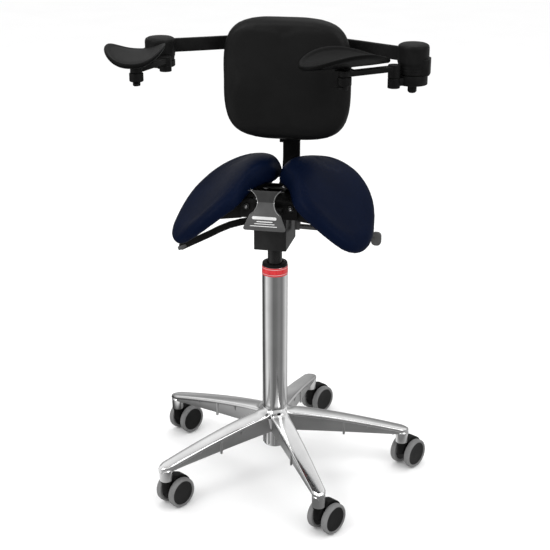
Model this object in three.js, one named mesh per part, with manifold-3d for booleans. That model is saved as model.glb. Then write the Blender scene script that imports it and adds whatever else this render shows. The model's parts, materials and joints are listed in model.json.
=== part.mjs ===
// Dentist stool: a split saddle seat on a gas-lift column, with a backrest and two elbow rests.
// Millimetres, +Z up. The stool faces -Y. Heights below are measured from the floor, and the
// whole stool is lowered at the end so that the origin is the centre of the foot's flat underside.

import * as THREE from 'three';
import { mergeVertices } from 'three/addons/utils/BufferGeometryUtils.js';
import Module from 'manifold-3d';

const wasm = await Module();
wasm.setup();

// ---------- driving dimensions ----------

const GAP = 0.4; // room between a piece and the piece it rests on or is cut by

const FOOT_HEIGHT = 60; // foot's underside above the floor
const FOOT_RADIUS = 22.5;

const LEG_COUNT = 5;
const FIRST_LEG_ANGLE = 12.4; // degrees from +X
const STEM_RADIUS = 260; // column axis to caster stem
const LEG_TIP = 273;
const LEG_ROOT_TOP = 135;
const LEG_TIP_TOP = 90;
const LEG_ROOT_HALF_WIDTH = 21;
const LEG_TIP_HALF_WIDTH = 14;
const LEG_PLATE = 7;
const LEG_RIB_RADIUS = 140;
const SOCKET_RADIUS = 12.5;

const WHEEL_RADIUS = 30;
const WHEEL_INNER_FACE = 10.5; // from the caster's middle plane
const WHEEL_OUTER_FACE = 24;
const CASTER_TRAIL = 23; // stem axis to wheel axle
const TRAIL_ANGLE = 58.8; // the way all five casters trail, degrees from +X
const HOUSING_WIDTH = 19.2;
const STEM_PIN_RADIUS = 5.3;

const COLUMN_RADIUS = 25;
const COLUMN_BORE = 22.3;
const COLUMN_BOTTOM = 100;
const COLUMN_TOP = 447;
const CYLINDER_RADIUS = 14;
const CYLINDER_BORE = 11;
const ROD_RADIUS = 5;
const COLUMN_SIDES = 24;

const BLOCK = { halfWidth: 31, front: -46, back: 48.5, bottom: 491, top: 564 };
const LEVER_HEIGHT = 540; // lift lever's finger, just over the valve pin
const TILT_PIN = { y: 22, z: 554, radius: 4 };
const SWING_PIN = { x: 42, z: 579, radius: 5, front: -58, back: 63 };
const PLATE_WAIST = { y: -74, z: 594.7, halfWidth: 15.5, notch: 27.5, thickness: 4 };

const SEAT_THICKNESS = 34;
const PAN_HALF_THICKNESS = 3;
const PAN_CLEARANCE = 2.7; // the foam's slack between cushion and pan
const PAN_SHARE = { across: 0.55, along: 0.76 }; // the pan's outline as a share of the cushion's

const POST = { y: 157, halfWidth: 17, halfDepth: 5, top: 800 };
const CARRIAGE = { halfWidth: 22.5, front: 147, back: 171, bottom: 652, top: 862 };
const BACK_PIVOT = { y: 140, z: 790, radius: 3 };
const BACKREST = { halfWidth: 125, bottom: 669, top: 905, front: 85, back: 128.5 };

const ARM_BAR = { z: 846.5, halfHeight: 13, thickness: 8, rearY: 176 };
const ELBOW = { x: 243, y: 80 };
const LINK_LENGTH = 42; // elbow axis to wrist axis
const FOREARM_LENGTH = 108; // wrist axis to pad axis
const FOREARM = { bottom: 821, top: 831, halfWidth: 8 };
const WRIST_DROP = 3; // wrist's split below the elbow's
const PAD_CLAMP_BOTTOM = 805;
const PAD = { halfLength: 92, halfWidth: 54, top: 848.8, trough: 27 };

// How each arm stands: directions from +X in degrees, the pad's tilt and how much taller its
// bracket is, and the elbow's heights.
const ARM_POSE = {
  right: {
    side: 1, link: 222, reach: 222, pad: 223, tilt: 0.5, rise: 0, capTop: 870, elbowSplit: 812,
    linkBottom: 793, knobLength: 16,
  },
  left: {
    side: -1, link: 300, reach: 258, pad: 283, tilt: 3, rise: 3, capTop: 865, elbowSplit: 820,
    linkBottom: 808, knobLength: 6,
  },
};

// ---------- materials ----------

function finish(color, roughness, metalness) {
  return new THREE.MeshStandardMaterial({ color, roughness, metalness });
}

const POLISHED = finish(0xc9cbcc, 0.12, 1);
const STEEL = finish(0x9a9c9e, 0.35, 1);
const BLACK_METAL = finish(0x2b2b2b, 0.5, 0.3);
const GREY_METAL = finish(0x585858, 0.5, 0.4);
const BLACK_PLASTIC = finish(0x242424, 0.5, 0);
const TYRE = finish(0x858585, 0.7, 0);
const NAVY_LEATHER = finish(0x10182e, 0.55, 0);
const BLACK_LEATHER = finish(0x1a1a1a, 0.55, 0);
const RUBBER = finish(0x151515, 0.9, 0);

// ---------- shape helpers ----------

const radians = THREE.MathUtils.degToRad;

// A geometry with positions only, shared vertices and no collapsed triangles.
function welded(geometry) {
  const bare = geometry.clone();
  bare.deleteAttribute('normal');
  bare.deleteAttribute('uv');
  const merged = mergeVertices(bare, 1e-3);
  const index = merged.index.array;
  const kept = [];
  for (let i = 0; i < index.length; i += 3) {
    const [a, b, c] = [index[i], index[i + 1], index[i + 2]];
    if (a !== b && b !== c && c !== a) kept.push(a, b, c);
  }
  merged.setIndex(kept);
  return merged;
}

function solid(geometry) {
  const g = welded(geometry);
  return new wasm.Manifold(new wasm.Mesh({
    numProp: 3,
    vertProperties: new Float32Array(g.attributes.position.array),
    triVerts: new Uint32Array(g.index.array),
  }));
}

function toGeometry(manifold) {
  const mesh = manifold.getMesh();
  const geometry = new THREE.BufferGeometry();
  geometry.setAttribute('position', new THREE.BufferAttribute(mesh.vertProperties, 3));
  geometry.setIndex(new THREE.BufferAttribute(mesh.triVerts, 1));
  return geometry;
}

function join(...geometries) {
  return toGeometry(geometries.map(solid).reduce((a, b) => a.add(b)));
}

function cut(geometry, ...tools) {
  return toGeometry(tools.map(solid).reduce((a, b) => a.subtract(b), solid(geometry)));
}

function box(x0, x1, y0, y1, z0, z1) {
  const g = new THREE.BoxGeometry(x1 - x0, y1 - y0, z1 - z0);
  return g.translate((x0 + x1) / 2, (y0 + y1) / 2, (z0 + z1) / 2);
}

function post(radius, z0, z1, sides = 20, x = 0, y = 0) {
  const g = new THREE.CylinderGeometry(radius, radius, z1 - z0, sides);
  return g.rotateX(Math.PI / 2).translate(x, y, (z0 + z1) / 2);
}

function rodAlongX(radius, x0, x1, y, z, sides = 16) {
  const g = new THREE.CylinderGeometry(radius, radius, x1 - x0, sides);
  return g.rotateZ(Math.PI / 2).translate((x0 + x1) / 2, y, z);
}

function rodAlongY(radius, y0, y1, x, z, sides = 16) {
  const g = new THREE.CylinderGeometry(radius, radius, y1 - y0, sides);
  return g.translate(x, (y0 + y1) / 2, z);
}

// Turns a [radius, height] profile about Z.
function turned(profile, sides = 24) {
  const points = profile.map(([r, z]) => new THREE.Vector2(r, z));
  return new THREE.LatheGeometry(points, sides).rotateX(Math.PI / 2);
}

function outline(points) {
  return new THREE.Shape(points.map(([x, y]) => new THREE.Vector2(x, y)));
}

function roundedRectangle(x0, x1, y0, y1, r) {
  const s = new THREE.Shape();
  s.moveTo(x0 + r, y0);
  s.lineTo(x1 - r, y0);
  s.absarc(x1 - r, y0 + r, r, -Math.PI / 2, 0);
  s.absarc(x1 - r, y1 - r, r, 0, Math.PI / 2);
  s.absarc(x0 + r, y1 - r, r, Math.PI / 2, Math.PI);
  s.absarc(x0 + r, y0 + r, r, Math.PI, Math.PI * 1.5);
  return s;
}

function prism(shape, z0, z1, curveSegments = 5) {
  const depth = z1 - z0;
  return new THREE.ExtrudeGeometry(shape, { depth, curveSegments, bevelEnabled: false })
    .translate(0, 0, z0);
}

// A bar of constant section swept along a smooth curve through the given points.
function swept(section, points, steps) {
  const path = new THREE.CatmullRomCurve3(points.map((p) => new THREE.Vector3(...p)));
  return new THREE.ExtrudeGeometry(section, {
    steps, extrudePath: path, curveSegments: 3, bevelEnabled: false,
  });
}

// Moves every vertex of a geometry by a function of its position.
function reshaped(geometry, move) {
  const g = welded(geometry);
  const p = g.attributes.position;
  const v = new THREE.Vector3();
  for (let i = 0; i < p.count; i += 1) {
    v.fromBufferAttribute(p, i);
    move(v);
    p.setXYZ(i, v.x, v.y, v.z);
  }
  return g;
}

// A cushion-like closed form. rim(angle) gives the plan outline, middle(x, y) the height of
// the middle surface and half(reach) the half thickness at a share of the way to the rim.
function pillow(sides, rings, rim, middle, half, centre = [0, 0]) {
  return reshaped(new THREE.SphereGeometry(1, sides, rings).rotateX(Math.PI / 2), (v) => {
    const flat = Math.min(1, Math.hypot(v.x, v.y));
    const angle = Math.atan2(v.y, v.x);
    const reach = Math.sqrt(flat);
    const edge = rim(angle);
    const x = centre[0] + (edge[0] - centre[0]) * reach;
    const y = centre[1] + (edge[1] - centre[1]) * reach;
    const up = Math.sign(v.z) * Math.sqrt(Math.abs(v.z));
    v.set(x, y, middle(x, y) + up * half(reach));
  });
}

const stool = new THREE.Group();

function piece(name, geometry, material, parent = stool) {
  const mesh = new THREE.Mesh(geometry, material);
  mesh.name = name;
  parent.add(mesh);
  return mesh;
}

// ---------- five-star base ----------

const legShare = (r) => THREE.MathUtils.clamp((r - COLUMN_RADIUS) / (LEG_TIP - COLUMN_RADIUS), 0, 1);

// The top of a leg arches down to the tip and flares up into the column at the root.
function legTop(r) {
  const flareEnd = 44;
  const flareHeight = 9;
  const flare = Math.max(0, (flareEnd - Math.max(r, COLUMN_RADIUS)) / (flareEnd - COLUMN_RADIUS));
  const arch = (LEG_ROOT_TOP - LEG_TIP_TOP) * (1 - legShare(r) ** 1.35);
  return LEG_TIP_TOP + arch + flareHeight * flare ** 3;
}

const legBottom = (r) => 94 - 15 * legShare(r) ** 1.2;

function legHalfWidth(r) {
  const noseStart = LEG_TIP - 13;
  const straight = THREE.MathUtils.lerp(LEG_ROOT_HALF_WIDTH, LEG_TIP_HALF_WIDTH, legShare(r));
  return straight - Math.max(0, r - noseStart) * 0.55;
}

// An inverted channel: a wide top plate over two set-in side walls.
function legChannel() {
  const section = outline([
    [-1, 1], [-1, 0.8], [-0.82, 0.8], [-0.82, 0], [-0.58, 0], [-0.58, 0.78],
    [0.58, 0.78], [0.58, 0], [0.82, 0], [0.82, 0.8], [1, 0.8], [1, 1],
  ]);
  const start = 12;
  const bar = new THREE.ExtrudeGeometry(section, { depth: 1, steps: 8, bevelEnabled: false });
  return reshaped(bar, (v) => {
    const eased = v.z - 0.11 * Math.sin(2 * Math.PI * v.z);
    const r = start + (LEG_TIP - start) * eased;
    const top = legTop(r);
    const shelf = top - LEG_PLATE;
    const wall = legBottom(r) + (shelf - legBottom(r)) * (v.y / 0.8);
    const z = v.y >= 0.8 ? top - LEG_PLATE * (1 - v.y) / 0.2 : wall;
    v.set(r, v.x * legHalfWidth(r), z);
  });
}

function legRib(r, halfLength, below) {
  const half = legHalfWidth(r) * 0.96;
  return box(r - halfLength, r + halfLength, -half, half, legBottom(r) - below, legTop(r) - 3);
}

function leg(index) {
  const parts = [
    legChannel(),
    legRib(LEG_RIB_RADIUS, 2.5, 4),
    legRib(STEM_RADIUS - 17, 2, 2),
    post(SOCKET_RADIUS, FOOT_HEIGHT, legTop(STEM_RADIUS) - 2, 14, STEM_RADIUS),
  ];
  const bore = post(STEM_PIN_RADIUS + 2 * GAP, FOOT_HEIGHT - 1, FOOT_HEIGHT + 24, 8, STEM_RADIUS);
  const angle = radians(FIRST_LEG_ANGLE + index * (360 / LEG_COUNT));
  return cut(join(...parts), bore).rotateZ(angle);
}

function baseStar() {
  const legs = Array.from({ length: LEG_COUNT }, (_, i) => leg(i));
  const hub = turned([
    [0, FOOT_HEIGHT], [FOOT_RADIUS, FOOT_HEIGHT], [FOOT_RADIUS + 0.5, 96],
    [COLUMN_RADIUS + 1.4, 98], [COLUMN_RADIUS + 1.4, 143], [COLUMN_RADIUS + 0.9, 146], [0, 146],
  ], COLUMN_SIDES);
  const columnBore = post(COLUMN_RADIUS + GAP, COLUMN_BOTTOM - GAP, 200, COLUMN_SIDES);
  const rodBore = post(15, FOOT_HEIGHT + 6, COLUMN_BOTTOM, 12);
  return cut(join(hub, ...legs), columnBore, rodBore);
}

// ---------- casters ----------

function casterHousing() {
  const hoodStart = radians(-20);
  const hoodEnd = radians(96);
  const cheek = new THREE.Shape();
  cheek.absarc(CASTER_TRAIL, WHEEL_RADIUS, 33.4, hoodStart, hoodEnd);
  cheek.absarc(CASTER_TRAIL, WHEEL_RADIUS, 26, hoodEnd, hoodStart + 2 * Math.PI);
  const body = prism(cheek, -HOUSING_WIDTH / 2, HOUSING_WIDTH / 2, 5).rotateX(Math.PI / 2);
  const neck = post(9.4, 34, 57, 10);
  const collar = post(11, 56, FOOT_HEIGHT - GAP, 12);
  const stem = post(STEM_PIN_RADIUS, 59, FOOT_HEIGHT + 22, 8);
  const axleBore = rodAlongY(3.4, -15, 15, CASTER_TRAIL, WHEEL_RADIUS, 10);
  return cut(join(body, neck, collar, stem), axleBore);
}

// One wheel, axle along +Z, inner face down, with a blind bore for the axle.
function casterWheel() {
  const [inner, outer] = [WHEEL_INNER_FACE, WHEEL_OUTER_FACE];
  return turned([
    [0, outer - 5], [3.4, outer - 5], [3.4, inner], [27, inner],
    [WHEEL_RADIUS, inner + 2.5], [WHEEL_RADIUS, outer - 3.8], [28.4, outer - 1],
    [25.6, outer], [25, outer - 1.4], [0, outer - 1.4],
  ], 16);
}

function caster(index) {
  const group = new THREE.Group();
  const angle = radians(FIRST_LEG_ANGLE + index * (360 / LEG_COUNT));
  group.position.set(STEM_RADIUS * Math.cos(angle), STEM_RADIUS * Math.sin(angle), 0);
  group.rotation.z = radians(TRAIL_ANGLE);
  stool.add(group);
  const name = `caster_${index + 1}`;
  piece(`${name}_housing`, casterHousing(), BLACK_PLASTIC, group);
  const axleEnd = WHEEL_OUTER_FACE - 5 - GAP;
  const axle = rodAlongY(3, -axleEnd, axleEnd, CASTER_TRAIL, WHEEL_RADIUS, 10);
  piece(`${name}_axle`, axle, STEEL, group);
  for (const [label, turn] of [['left', Math.PI / 2], ['right', -Math.PI / 2]]) {
    const wheel = piece(`${name}_wheel_${label}`, casterWheel(), TYRE, group);
    wheel.position.set(CASTER_TRAIL, 0, WHEEL_RADIUS);
    wheel.rotation.x = turn;
  }
}

// ---------- column and gas lift ----------

function columnTube() {
  return turned([
    [COLUMN_BORE, COLUMN_BOTTOM], [COLUMN_RADIUS, COLUMN_BOTTOM],
    [COLUMN_RADIUS, COLUMN_TOP], [COLUMN_BORE, COLUMN_TOP], [COLUMN_BORE, COLUMN_BOTTOM],
  ], COLUMN_SIDES);
}

// The guide bush that the gas cylinder slides through, with its lip over the tube's end.
function columnCollar() {
  const lip = COLUMN_TOP + 0.3;
  const bore = CYLINDER_RADIUS + 0.5;
  return turned([
    [bore, 400], [COLUMN_BORE - GAP, 400], [COLUMN_BORE - GAP, lip], [24.5, lip],
    [24.5, lip + 4.7], [23.3, lip + 6], [bore, lip + 6], [bore, 400],
  ], 20);
}

function thrustBearing() {
  return turned([[5.6, 66.3], [12, 66.3], [12, 72.3], [5.6, 72.3], [5.6, 66.3]], 16);
}

// The rod stands on the bearing by its flange; the piston head is inside the cylinder.
function pistonRod() {
  return turned([
    [0, 66.6], [ROD_RADIUS, 66.6], [ROD_RADIUS, 72.6], [8, 72.6], [8, 76],
    [ROD_RADIUS, 76], [ROD_RADIUS, 492], [10.4, 492], [10.4, 503], [0, 503],
  ], 12);
}

function gasCylinder() {
  return turned([
    [ROD_RADIUS + 0.5, 104], [12.5, 104], [CYLINDER_RADIUS, 106], [CYLINDER_RADIUS, 529],
    [12.5, 531], [2.7, 531], [2.7, 514], [CYLINDER_BORE, 514], [CYLINDER_BORE, 112],
    [ROD_RADIUS + 0.5, 112], [ROD_RADIUS + 0.5, 104],
  ], 16);
}

function valvePin() {
  return turned([[0, 516], [2.2, 516], [2.2, 534], [1.4, 535.6], [0, 535.6]], 8);
}

// ---------- seat mechanism ----------

// The block that grips the top of the gas cylinder and carries the tilt pin.
function columnSocket() {
  const b = BLOCK;
  const bevel = 2;
  const plan = outline([
    [-b.halfWidth, b.front + bevel], [-b.halfWidth + bevel, b.front],
    [b.halfWidth - bevel, b.front], [b.halfWidth, b.front + bevel],
    [b.halfWidth, b.back - bevel], [b.halfWidth - bevel, b.back],
    [-b.halfWidth + bevel, b.back], [-b.halfWidth, b.back - bevel],
  ]);
  const cylinderBore = post(CYLINDER_RADIUS + GAP, b.bottom - 1, 531.6, 16);
  const leverSlot = box(-b.halfWidth - 1, 14, -18, 10, 531, 547);
  const pinBore = rodAlongX(TILT_PIN.radius + GAP, -40, 40, TILT_PIN.y, TILT_PIN.z);
  return cut(prism(plan, b.bottom, b.top), cylinderBore, leverSlot, pinBore);
}

function tiltPin() {
  return rodAlongX(TILT_PIN.radius, -35.5, 35.5, TILT_PIN.y, TILT_PIN.z);
}

// The frame that tilts on the block and carries the two swing pins, one for each seat half.
function tiltFrame() {
  const deck = box(-28, 28, -72, 62, 572, 580);
  const saddle = box(-35, 35, 2, 42, 572, 580);
  const cheek = (side) => {
    const [near, far] = [31.6 * side, 35 * side];
    return box(Math.min(near, far), Math.max(near, far), 2, 42, 544, 577);
  };
  const web = (y, bottom) => box(-54, 54, y, y + 6, bottom, 592);
  const plateRib = box(-14, 14, -72, -66, 562, 592);
  const backLug = box(-15, 15, 60, 84, 567, 577);
  const frame = join(deck, saddle, cheek(1), cheek(-1), plateRib, web(-55.5, 557), web(56, 567), backLug);
  const swingBore = (side) => rodAlongY(SWING_PIN.radius + GAP, -90, 70, side * SWING_PIN.x, SWING_PIN.z);
  const pinBore = rodAlongX(TILT_PIN.radius + GAP, -40, 40, TILT_PIN.y, TILT_PIN.z);
  return cut(frame, swingBore(1), swingBore(-1), pinBore);
}

function swingPin(side) {
  return rodAlongY(SWING_PIN.radius, SWING_PIN.front + 1, SWING_PIN.back - 1, side * SWING_PIN.x, SWING_PIN.z);
}

// An hourglass cover on the deck's front rib. Round notches bare the swing pins, and it bends
// at the waist: the lower half leans out towards the front.
function frontPlate() {
  const { halfWidth, notch, thickness } = PLATE_WAIST;
  const centre = halfWidth + notch;
  const lower = new THREE.Shape();
  lower.absarc(-centre, 0, notch, 0, radians(-60), true);
  lower.lineTo(-39, -47);
  lower.quadraticCurveTo(-41, -52, -35, -53);
  lower.lineTo(35, -53);
  lower.quadraticCurveTo(41, -52, 39, -47);
  lower.absarc(centre, 0, notch, radians(240), radians(180), true);
  const upper = new THREE.Shape();
  upper.absarc(centre, 0, notch, radians(180), radians(132), true);
  upper.lineTo(34, 22);
  upper.lineTo(-34, 22);
  upper.absarc(-centre, 0, notch, radians(48), 0, true);
  const half = (shape, lean) => prism(shape, 0, thickness, 6)
    .rotateX(Math.PI / 2)
    .rotateX(radians(lean))
    .translate(0, PLATE_WAIST.y, PLATE_WAIST.z);
  return join(half(lower, -19), half(upper, 3));
}

const flatBar = (a, b) => outline([[-a, -b], [a, -b], [a, b], [-a, b]]);

// Pulled up at its tip, the lever presses the valve pin at its inner end.
function liftLever() {
  const blade = swept(flatBar(6, 3.5), [
    [-22, -8, LEVER_HEIGHT], [-45, -14, LEVER_HEIGHT - 2], [-85, -26, 529], [-130, -32, 506],
    [-178, -37, 482],
  ], 8);
  const finger = box(-28, 4, -12, 4, LEVER_HEIGHT - 3.6, LEVER_HEIGHT + 3.5);
  return join(blade, finger);
}

function tiltLever() {
  const y = 15;
  const bar = swept(flatBar(6, 3.5), [[40, y, 523], [95, y, 521], [145, y, 509], [192, y, 507.5]], 7);
  const hanger = box(36.6, 46, y - 6, y + 6, 517, 556);
  const paddle = prism(roundedRectangle(184, 203, 495.5, 521.5, 8), -4, 4)
    .rotateX(Math.PI / 2)
    .translate(0, y, 0);
  return join(bar, hanger, paddle);
}

// The screw between the two barrels sets how far apart the seat halves lean.
function widthScrew() {
  return join(rodAlongX(3, -34, 34, 50, 586, 12), rodAlongX(6, 4, 12, 50, 586, 6));
}

// ---------- seat halves ----------

const SEAT_CENTRE = [95, 15];

// Plan outline of the right half, walked from its rear inner corner round the front.
const SEAT_OUTLINE = new THREE.CatmullRomCurve3([
  [12, 100], [3.5, 58], [4.5, 16], [33, -34], [56, -84], [99, -106], [150, -104],
  [188, -57], [191, 0], [175, 67], [137, 123], [78, 158], [34, 143],
].map(([x, y]) => new THREE.Vector3(x, y, 0)), true);

const SEAT_RIM = SEAT_OUTLINE.getPoints(240).map((p) => ({
  x: p.x, y: p.y, angle: Math.atan2(p.y - SEAT_CENTRE[1], p.x - SEAT_CENTRE[0]),
}));

function seatRim(angle) {
  const turn = (a) => Math.abs(Math.atan2(Math.sin(a - angle), Math.cos(a - angle)));
  const near = SEAT_RIM.reduce((best, p) => (turn(p.angle) < turn(best.angle) ? p : best));
  return [near.x, near.y];
}

// Height of the saddle's top: a ridge near the gap, falling away to the side and the front.
function seatTop(x, y) {
  const [u, v] = [x / 100, y / 100];
  const across = 70 * u - 140 * u * u + 43 * u ** 3;
  const along = 11 * v - 26 * v * v;
  const noseLift = 34 * Math.max(0, -v - 0.6) ** 2;
  return 636 + across + along + 3 * u * v + 8 * u * u * v + 19 * u * v * v + noseLift;
}

function mirrored(geometry) {
  const g = welded(geometry);
  g.scale(-1, 1, 1);
  const index = g.index.array;
  for (let i = 0; i < index.length; i += 3) {
    [index[i], index[i + 1]] = [index[i + 1], index[i]];
  }
  return g;
}

function seatCushion() {
  const middle = (x, y) => seatTop(x, y) - SEAT_THICKNESS / 2;
  return pillow(26, 9, seatRim, middle, () => SEAT_THICKNESS / 2, SEAT_CENTRE);
}

const panMiddle = (x, y) => seatTop(x, y) - SEAT_THICKNESS - PAN_CLEARANCE - PAN_HALF_THICKNESS;

// The pan follows the cushion's underside; its bracket reaches in to the swing knuckles.
function seatPan() {
  const inset = ([x, y]) => [
    SEAT_CENTRE[0] + (x - SEAT_CENTRE[0]) * PAN_SHARE.across,
    SEAT_CENTRE[1] + (y - SEAT_CENTRE[1]) * PAN_SHARE.along,
  ];
  return pillow(20, 4, (a) => inset(seatRim(a)), panMiddle, () => PAN_HALF_THICKNESS, SEAT_CENTRE);
}

function seatBracket() {
  const { x, z } = SWING_PIN;
  const knuckle = (y0, y1) => rodAlongY(8.5, y0, y1, x, z, 14);
  const arm = (y0, y1) => {
    const pan = (at) => panMiddle(at, (y0 + y1) / 2) - PAN_HALF_THICKNESS * 0.9;
    const section = outline([
      [x, z - 8], [x + 12, z - 26], [96, pan(96) - 14], [96, pan(96)], [72, pan(72)],
      [56, Math.min(pan(56), z + 8)], [x, z + 8],
    ]);
    return prism(section, 0, y1 - y0).rotateX(Math.PI / 2).translate(0, y1, 0);
  };
  return [knuckle(-48, -23), arm(-48, -23), knuckle(46, 55.5), arm(46, 55.5)];
}

// ---------- backrest ----------

function backPost() {
  return swept(flatBar(POST.halfWidth, POST.halfDepth), [
    [0, 84.5, 572], [0, 115, 573], [0, 142, 584], [0, POST.y - 2, 612], [0, POST.y, 645],
    [0, POST.y, 700], [0, POST.y, POST.top],
  ], 14);
}

function backCarriage() {
  const c = CARRIAGE;
  const side = outline([
    [-c.halfWidth, c.bottom], [c.halfWidth - 7, c.bottom], [c.halfWidth, c.bottom + 12],
    [c.halfWidth, c.top], [-c.halfWidth, c.top],
  ]);
  const body = prism(side, 0, c.back - c.front).rotateX(Math.PI / 2).translate(0, c.back, 0);
  const slot = box(
    -POST.halfWidth - GAP, POST.halfWidth + GAP,
    POST.y - POST.halfDepth - GAP, POST.y + POST.halfDepth + GAP, c.bottom - 5, c.top + 5,
  );
  const knuckle = join(
    rodAlongX(6, -12, 12, BACK_PIVOT.y, BACK_PIVOT.z),
    box(-12, 12, BACK_PIVOT.y, c.front + 1, BACK_PIVOT.z - 6, BACK_PIVOT.z + 6),
    rodAlongX(BACK_PIVOT.radius, -21, 21, BACK_PIVOT.y, BACK_PIVOT.z, 12),
  );
  const screwBore = rodAlongY(3.6, POST.y + 3, c.back + 2, 0, 690);
  return cut(join(cut(body, slot), knuckle), screwBore);
}

function backKnob() {
  const shank = rodAlongY(3.2, CARRIAGE.back - 6, CARRIAGE.back + 6, 0, 690, 12);
  const grip = rodAlongY(16, CARRIAGE.back + 4, CARRIAGE.back + 20, 0, 690, 14);
  return join(shank, grip);
}

function backPlate() {
  const b = BACKREST;
  const inset = 14;
  const shape = roundedRectangle(
    -b.halfWidth + inset, b.halfWidth - inset, b.bottom + inset, b.top - inset, 55,
  );
  const panel = prism(shape, 0, 5, 4).rotateX(Math.PI / 2).translate(0, b.back + 5.4, 0);
  const lug = (x0) => join(
    rodAlongX(6, x0, x0 + 6, BACK_PIVOT.y, BACK_PIVOT.z),
    box(x0, x0 + 6, b.back + 4, BACK_PIVOT.y, BACK_PIVOT.z - 6, BACK_PIVOT.z + 6),
  );
  const bore = rodAlongX(BACK_PIVOT.radius + GAP, -25, 25, BACK_PIVOT.y, BACK_PIVOT.z, 12);
  return cut(join(panel, lug(13), lug(-19)), bore);
}

// A rounded square, fullest in the middle.
function backCushion() {
  const b = BACKREST;
  const halfHeight = (b.top - b.bottom) / 2;
  const halfDepth = (b.back - b.front) / 2;
  const corner = 3.6;
  const rim = (angle) => {
    const [c, s] = [Math.cos(angle), Math.sin(angle)];
    const reach = (Math.abs(c) ** corner + Math.abs(s) ** corner) ** (-1 / corner);
    return [b.halfWidth * reach * c, halfHeight * reach * s];
  };
  return pillow(28, 8, rim, () => 0, () => halfDepth)
    .rotateX(Math.PI / 2)
    .translate(0, (b.front + b.back) / 2, (b.top + b.bottom) / 2);
}

// ---------- arms ----------

function armBar() {
  const section = flatBar(ARM_BAR.halfHeight, ARM_BAR.thickness / 2);
  const right = [[40, ARM_BAR.rearY], [78, 168], [120, 150], [175, 118], [236, 83.5]];
  const left = right.map(([x, y]) => [-x, y]).reverse();
  return swept(section, [...left, [0, ARM_BAR.rearY + 0.4], ...right].map(([x, y]) => [x, y, ARM_BAR.z]), 22);
}

function elbowHousing(side, bottom, capTop) {
  const cap = turned([
    [0, bottom], [27, bottom], [27, 830], [29, 834], [28, capTop - 10], [21, capTop - 3], [0, capTop],
  ], 20);
  const shoulder = prism(roundedRectangle(0, 32, -20, 20, 8), bottom, 842, 3);
  const inwards = radians(180 - 30);
  const slot = box(-8, 60, -6, 6, ARM_BAR.z - 13.5, ARM_BAR.z + 13.5).rotateZ(inwards);
  const body = cut(join(cap, shoulder), slot);
  return (side > 0 ? body : mirrored(body)).translate(side * ELBOW.x, ELBOW.y, 0);
}

// The lower half of the elbow swings under the housing and ends in the wrist's lower barrel.
function elbowLink(top, bottom) {
  const wristTop = top - WRIST_DROP - GAP;
  const block = post(28, bottom, top - GAP, 20);
  const arm = box(0, LINK_LENGTH, -9, 9, bottom + 1, wristTop - 0.6);
  const barrel = post(11.5, bottom - 3, wristTop, 16, LINK_LENGTH);
  const pin = post(4, wristTop - 1, wristTop + 13, 10, LINK_LENGTH);
  const screwBore = post(3.8, bottom - 1, bottom + 9, 12);
  return cut(join(block, arm, barrel, pin), screwBore);
}

function elbowKnob(linkBottom, length) {
  const [low, high] = [linkBottom - length, linkBottom - GAP];
  return turned([
    [0, low], [6, low + 1], [8.5, low + 3.5], [8.5, high - 1.5], [7, high], [3.3, high],
    [3.3, linkBottom + 8], [0, linkBottom + 8],
  ], 14);
}

// The forearm bar runs from the wrist's upper barrel to an eye under the pad.
function forearm(elbowSplit) {
  const { bottom, top, halfWidth } = FOREARM;
  const wristBottom = elbowSplit - WRIST_DROP;
  const barrel = post(11.5, wristBottom, 833, 16);
  const bar = box(0, FOREARM_LENGTH, -halfWidth, halfWidth, bottom, top);
  const eye = post(11, bottom, top, 16, FOREARM_LENGTH);
  const wristBore = post(4.4, wristBottom - 1, wristBottom + 13.4, 10);
  const padBore = post(5.5, bottom - 1, top + 1, 12, FOREARM_LENGTH);
  return cut(join(barrel, bar, eye), wristBore, padBore);
}

// The swivel under the pad: a disc on the forearm's eye with a cross knuckle on top.
function padBracket(rise) {
  const disc = post(18, FOREARM.top + GAP, 833.5 + rise, 18);
  const knuckle = rodAlongY(3.3, -20, 20, 0, 835.1 + rise, 12);
  const pin = post(5, 812, 832, 12);
  const clamp = post(13, PAD_CLAMP_BOTTOM, FOREARM.bottom - GAP, 16);
  return join(disc, knuckle, pin, clamp);
}

function padKnob() {
  const [low, high] = [PAD_CLAMP_BOTTOM - 8, PAD_CLAMP_BOTTOM - GAP];
  return join(post(7, low, high, 12), box(-4, 18, -4, 4, low + 2, high - 1));
}

// An elliptical trough, its long sides turned up, tilted so that its front end rises.
function armPad(tilt, rise) {
  const rim = (angle) => [PAD.halfLength * Math.cos(angle), PAD.halfWidth * Math.sin(angle)];
  const middle = (x, y) => PAD.top + rise - 5 + x * Math.tan(radians(tilt))
    + PAD.trough * (y / PAD.halfWidth) ** 2;
  return pillow(20, 6, rim, middle, (reach) => 5 - 1.5 * reach);
}

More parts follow.
